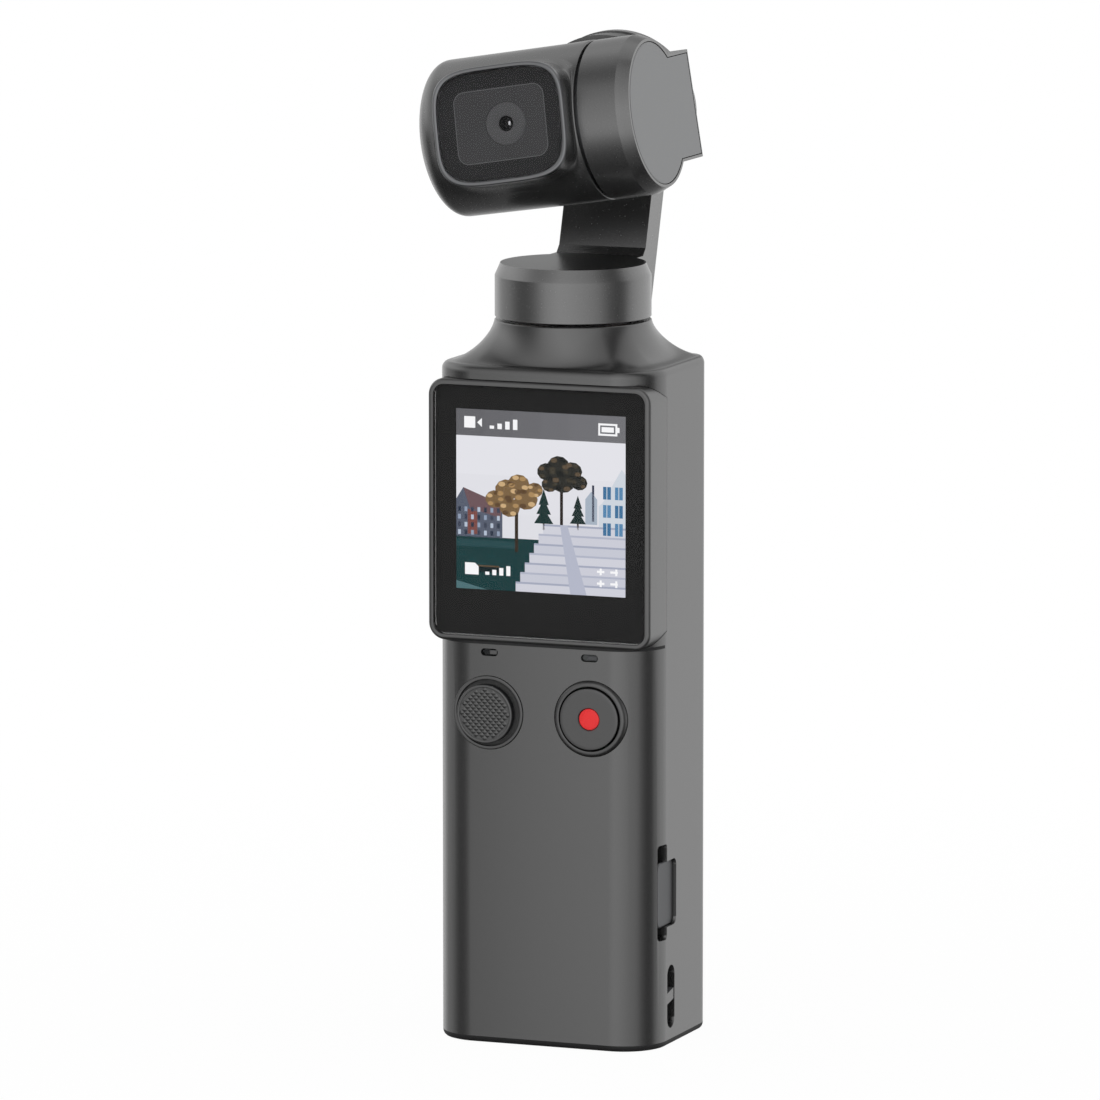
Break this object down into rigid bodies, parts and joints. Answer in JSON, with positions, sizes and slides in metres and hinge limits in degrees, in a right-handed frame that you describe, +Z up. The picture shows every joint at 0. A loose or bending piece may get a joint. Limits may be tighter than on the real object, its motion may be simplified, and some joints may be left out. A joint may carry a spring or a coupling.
{
  "type": "pocket gimbal camera",
  "caption": "Hand-size camera handle with a square touch screen, thumb stick and record button, and a three-axis motorised arm carrying a squared camera head.",
  "frame": {"origin": "point on the flat bottom face of the handle under the pan axis", "axes": "+X towards the side with the accessory port, -Y out of the screen, +Z up along the pan axis"},
  "size_m": [0.034, 0.0316, 0.1278],
  "materials": {
    "handle_paint": "satin dark grey paint",
    "cap_plastic": "matt dark grey plastic",
    "frame_plastic": "matt near-black plastic",
    "cover_glass": "polished cover glass with a dark border",
    "display_face": "lit colour display",
    "trim_plastic": "fine matt black plastic",
    "switch_metal": "stamped steel",
    "board_green": "green solder mask",
    "light_pipe": "milky clear plastic",
    "port_plastic": "matt dark grey plastic",
    "contact_gold": "gold-plated contacts",
    "cell_wrap": "blue-grey film",
    "chassis_alloy": "machined aluminium",
    "screw_steel": "steel screws",
    "core_iron": "laminated iron",
    "copper_wire": "enamelled copper wire",
    "stick_rubber": "ribbed black rubber",
    "button_plastic": "satin dark grey plastic",
    "dot_red": "red lens",
    "card_plastic": "black moulded plastic",
    "arm_paint": "satin dark grey paint",
    "magnet_nickel": "nickel-plated magnets",
    "cover_paint": "satin grey paint",
    "head_paint": "satin dark grey paint",
    "bezel_metal": "blasted dark grey metal",
    "window_glass": "dark coated glass",
    "lens_black": "gloss black plastic",
    "lens_barrel": "matt black lens barrel",
    "lens_glass": "coated lens glass",
    "sensor_face": "sensor under its cover glass"
  },
  "bodies": {
    "handle": {"handle_shell": "handle_paint", "shoulder_collar": "handle_paint", "bottom_cap": "cap_plastic", "screen_frame": "frame_plastic", "display_glass": "cover_glass", "display_panel": "display_face", "joystick_cup": "trim_plastic", "record_ring": "trim_plastic", "record_switch": "switch_metal", "control_board": "board_green", "status_light_pipe": "light_pipe", "microphone_mesh": "trim_plastic", "port_liner": "port_plastic", "port_contact_block": "trim_plastic", "port_contacts": "contact_gold", "lanyard_pocket": "port_plastic", "battery_cell": "cell_wrap", "main_board": "board_green", "processor_shield": "switch_metal", "usb_c_receptacle": "switch_metal", "card_socket": "switch_metal", "inner_chassis": "chassis_alloy", "chassis_screws": "screw_steel", "pan_motor_base": "chassis_alloy", "pan_stator_core": "core_iron", "pan_windings": "copper_wire", "pan_bearings": "screw_steel"},
    "rocker": {"joystick_rocker": "chassis_alloy"},
    "stick": {"joystick_stem": "chassis_alloy", "joystick_cap": "stick_rubber"},
    "record_key": {"record_button": "button_plastic", "record_dot": "dot_red"},
    "card": {"memory_card": "card_plastic"},
    "pan_frame": {"pan_yoke": "arm_paint", "neck_cover": "cap_plastic", "pan_magnet_ring": "magnet_nickel", "pan_shaft": "screw_steel", "roll_stator_core": "core_iron", "roll_windings": "copper_wire", "roll_bearings": "screw_steel"},
    "roll_frame": {"roll_arm": "arm_paint", "side_cover": "cover_paint", "roll_magnet_ring": "magnet_nickel", "roll_shaft": "screw_steel", "tilt_stator_core": "core_iron", "tilt_windings": "copper_wire", "tilt_bearings": "screw_steel"},
    "head": {"head_front_shell": "head_paint", "head_rear_shell": "head_paint", "window_bezel": "bezel_metal", "window_glass": "window_glass", "lens_mask": "lens_black", "lens_barrel": "lens_barrel", "lens_front_element": "lens_glass", "image_sensor": "sensor_face", "sensor_board": "board_green", "tilt_rotor_cup": "chassis_alloy", "tilt_magnet_ring": "magnet_nickel", "tilt_shaft": "screw_steel"}
  },
  "joints": [
    {"name": "pan", "type": "hinge", "parent": "handle", "child": "pan_frame", "pos_m": [0, 0, 0.0954], "axis": [0, 0, 1], "range_deg": [-230, 50]},
    {"name": "roll", "type": "hinge", "parent": "pan_frame", "child": "roll_frame", "pos_m": [0, 0.0145, 0.11627], "axis": [0, -1, 0], "range_deg": [-27.5, 10.5]},
    {"name": "tilt", "type": "hinge", "parent": "roll_frame", "child": "head", "pos_m": [0, 0, 0.11627], "axis": [-0.9871, 0, -0.1599], "range_deg": [-98.2, 41.8]},
    {"name": "stick_updown", "type": "hinge", "parent": "handle", "child": "rocker", "pos_m": [-0.0069, -0.0104, 0.0425], "axis": [1, 0, 0], "range_deg": [-5, 5], "stiffness_Nm_per_rad": 0.02},
    {"name": "stick_sideways", "type": "hinge", "parent": "rocker", "child": "stick", "pos_m": [-0.0069, -0.0104, 0.0425], "axis": [0, 0, 1], "range_deg": [-5, 5], "stiffness_Nm_per_rad": 0.02},
    {"name": "record_press", "type": "slide", "parent": "handle", "child": "record_key", "axis": [0, 1, 0], "range_m": [0, 0.00035], "stiffness_N_per_m": 900},
    {"name": "card_slide", "type": "slide", "parent": "handle", "child": "card", "axis": [-1, 0, 0], "range_m": [0, 0.009]}
  ]
}
